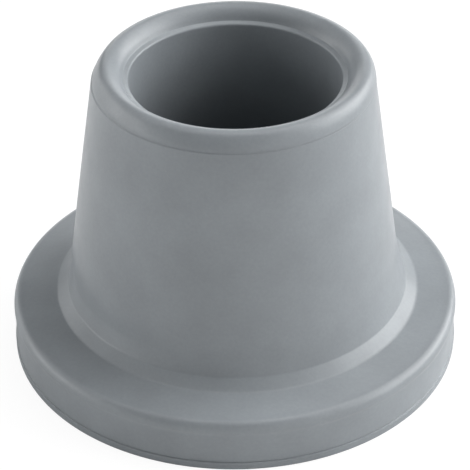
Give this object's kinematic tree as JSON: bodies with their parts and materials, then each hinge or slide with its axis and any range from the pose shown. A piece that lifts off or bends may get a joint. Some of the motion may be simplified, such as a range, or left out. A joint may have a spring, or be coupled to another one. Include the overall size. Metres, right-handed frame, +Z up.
{
  "type": "chair leg tip",
  "caption": "Flanged grey rubber tip with a tapered sleeve, rolled rim and deep blind socket for a round chair or stool leg.",
  "frame": {"origin": "middle of the sole, on the ground under the leg's axis", "axes": "+Z up along the socket's axis and out of its mouth; round about Z, so X and Y are free"},
  "size_m": [0.0562, 0.0562, 0.0387],
  "materials": {
    "rubber": "smooth matt moulded grey rubber"
  },
  "bodies": {
    "root": {"leg_tip": "rubber"}
  },
  "joints": []
}
